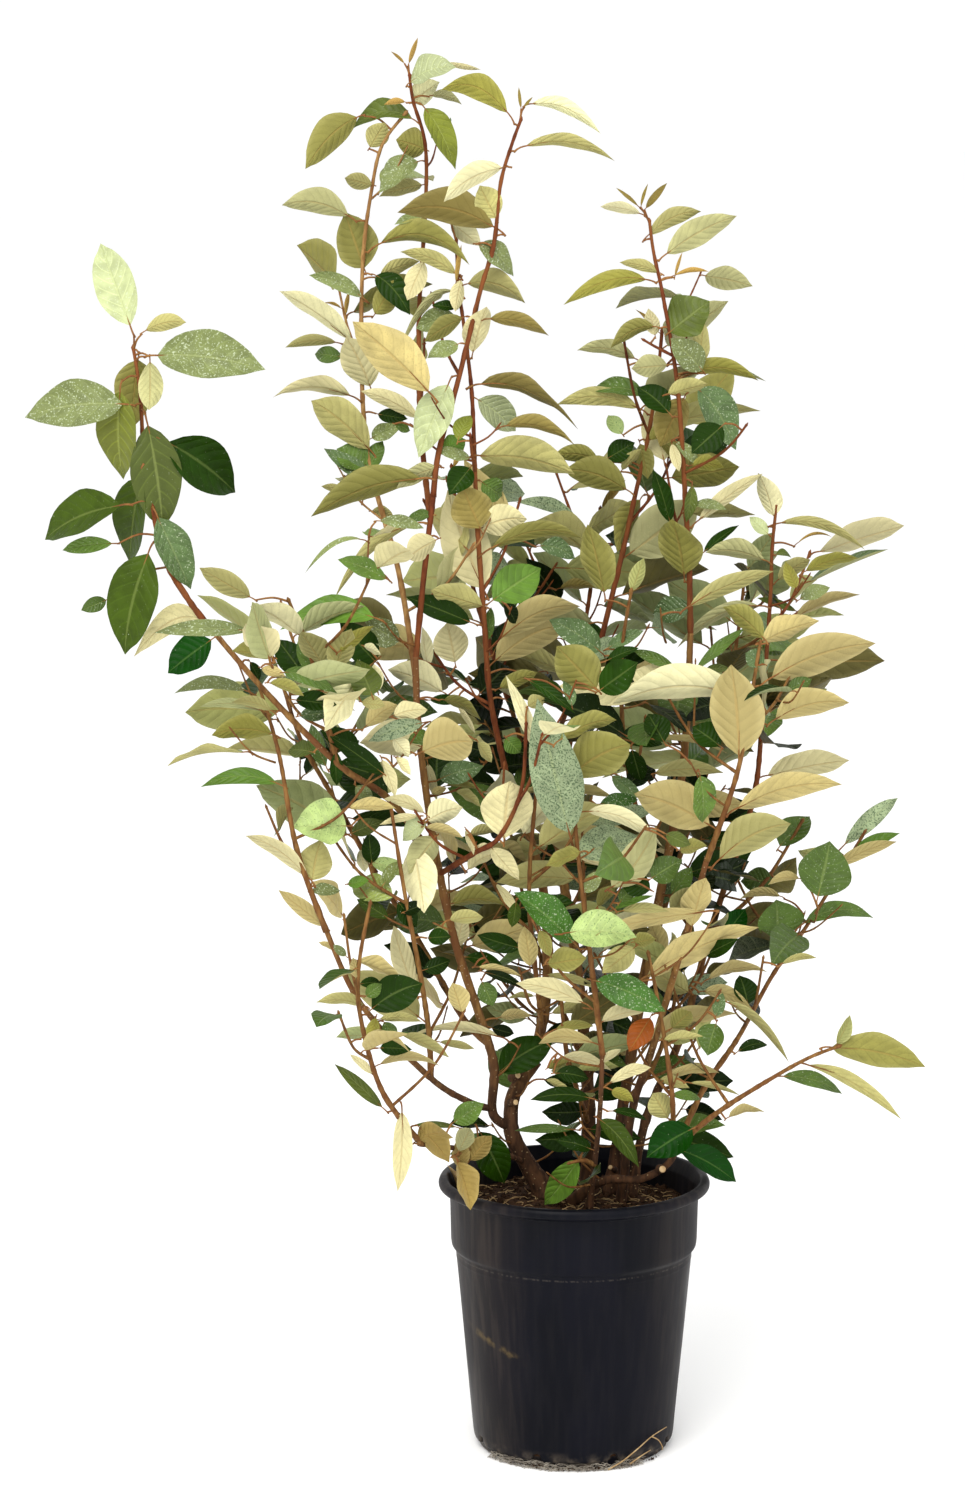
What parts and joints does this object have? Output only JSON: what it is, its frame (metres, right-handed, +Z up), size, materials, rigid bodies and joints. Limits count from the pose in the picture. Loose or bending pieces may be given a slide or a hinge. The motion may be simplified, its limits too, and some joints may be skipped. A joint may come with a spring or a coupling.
{
  "type": "potted silverberry shrub",
  "caption": "Young ebbinges silverberry: an open evergreen shrub of long upright shoots with silvery-backed oval leaves, in a plain black nursery pot filled with soil.",
  "frame": {"origin": "middle of the pot's flat underside", "axes": "+Z up, +X to the right and +Y to the back as seen from the front"},
  "size_m": [0.8198, 0.6346, 1.3316],
  "materials": {
    "pot": "dusty black moulded polypropylene",
    "soil": "crumbly dark bark and peat compost",
    "bark": "dull brown bark, smoother and redder on the young shoots",
    "foliage": "leathery leaves, green above and scaly beige below"
  },
  "bodies": {
    "root": {"pot": "pot", "soil": "soil", "trunk_left": "bark", "trunk_middle": "bark", "trunk_right": "bark", "stem_back_right": "bark", "stem_front_right": "bark", "stem_front": "bark", "stem_low_right": "bark", "bough_centre": "bark", "bough_left_upright": "bark", "bough_left_upper": "bark", "bough_far_left": "bark", "bough_left_back": "bark", "bough_low_left": "bark", "bough_front_left": "bark", "bough_right_tall": "bark", "bough_back": "bark", "bough_back_right": "bark", "foliage_centre": "foliage", "foliage_top": "foliage", "foliage_high_tip": "foliage", "foliage_left_top": "foliage", "foliage_far_left": "foliage", "foliage_left_slope": "foliage", "foliage_left_back": "foliage", "foliage_low_left": "foliage", "foliage_left_inner": "foliage", "foliage_front_left": "foliage", "foliage_low_front": "foliage", "foliage_inner_front": "foliage", "foliage_centre_front": "foliage", "foliage_tall_right": "foliage", "foliage_right_top": "foliage", "foliage_right_inner": "foliage", "foliage_right": "foliage", "foliage_right_front": "foliage", "foliage_front": "foliage", "foliage_front_right": "foliage", "foliage_low_right": "foliage", "foliage_right_reach": "foliage", "foliage_soil": "foliage", "foliage_low_middle": "foliage", "foliage_low_inner": "foliage", "foliage_back_left": "foliage", "foliage_back_middle": "foliage", "foliage_back_right": "foliage", "foliage_back_low": "foliage", "foliage_low_back_right": "foliage"}
  },
  "joints": []
}
